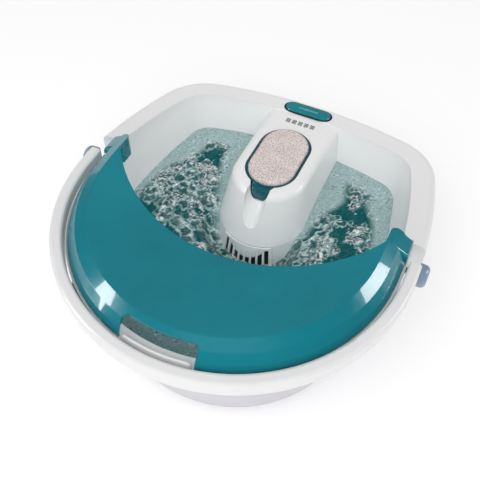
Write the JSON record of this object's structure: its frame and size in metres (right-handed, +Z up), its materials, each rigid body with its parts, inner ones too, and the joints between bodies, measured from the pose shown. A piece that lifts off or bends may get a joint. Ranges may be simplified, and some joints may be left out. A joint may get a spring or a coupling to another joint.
{
  "type": "foot spa basin",
  "caption": "Water basin for bathing feet, with a raised centre island, a drop-in crescent splash guard, a fold-up carry handle, a lift-out pumice stone and a toe-touch power button.",
  "frame": {"origin": "on the table, under the centre of the whole object's box", "axes": "+Z up, +Y towards the power button end, -Y towards the splash guard"},
  "size_m": [0.407, 0.4217, 0.1806],
  "materials": {
    "white_gloss": "glossy moulded white",
    "white_case": "glossy moulded white, slightly cooler",
    "grey_cover": "fine matte",
    "teal_clear": "polished translucent teal",
    "teal": "glossy teal",
    "pale_blue": "satin pale blue",
    "window": "clear light window",
    "dark_rubber": "soft matte",
    "feet_rubber": "soft matte",
    "pumice": "coarse, speckled stone",
    "black": "matte black",
    "steel": "plain",
    "hose": "soft translucent silicone",
    "case_grey": "moulded, matte",
    "fan": "moulded, natural",
    "foam": "open foam",
    "heater": "plain plate",
    "board": "green laminate",
    "parts": "mixed components"
  },
  "bodies": {
    "base": {"tub_shell": "white_gloss", "outer_housing": "white_case", "bottom_cover": "grey_cover", "rubber_feet": "feet_rubber", "cover_screws": "steel", "pivot_pin_right": "steel", "pivot_pin_left": "steel", "button_bezel": "dark_rubber", "switch_bracket": "white_case", "power_switch": "black", "grille_backing": "black", "nose_grille": "white_gloss", "bubble_strip_left": "white_gloss", "bubble_strip_right": "white_gloss", "air_hose_left": "hose", "air_hose_right": "hose", "air_manifold": "case_grey", "check_valve": "case_grey", "blower_scroll": "case_grey", "blower_lid": "case_grey", "motor_mounts": "dark_rubber", "blower_motor": "steel", "intake_filter": "foam", "heater_left": "heater", "heater_right": "heater", "thermal_cutout": "black", "control_board": "board", "board_parts": "parts", "board_screws": "steel", "cord_gland": "black"},
    "handle_body": {"handle": "white_gloss", "pivot_cap_left": "pale_blue", "pivot_cap_right": "pale_blue"},
    "guard_body": {"splash_guard": "teal_clear"},
    "button_body": {"power_button": "teal", "button_window": "window", "switch_plunger": "black"},
    "pumice_body": {"pumice_holder": "teal", "pumice_stone": "pumice"},
    "fan_body": {"impeller": "fan", "motor_shaft": "steel"}
  },
  "joints": [
    {"name": "handle_hinge", "type": "hinge", "parent": "base", "child": "handle_body", "pos_m": [0, 0.005, 0.148], "axis": [-1, 0, 0], "range_deg": [0, 95]},
    {"name": "guard_lift", "type": "slide", "parent": "base", "child": "guard_body", "axis": [0, -0.2588, 0.9659], "range_m": [0, 0.12]},
    {"name": "button_press", "type": "slide", "parent": "base", "child": "button_body", "axis": [0, -0.1399, -0.9902], "range_m": [0, 0.0025], "stiffness_N_per_m": 400},
    {"name": "pumice_lift", "type": "slide", "parent": "base", "child": "pumice_body", "axis": [0, 0, 1], "range_m": [0, 0.06]},
    {"name": "fan_spin", "type": "hinge", "parent": "base", "child": "fan_body", "pos_m": [0, 0.112, 0.03], "axis": [0, 0, 1], "continuous": true}
  ]
}
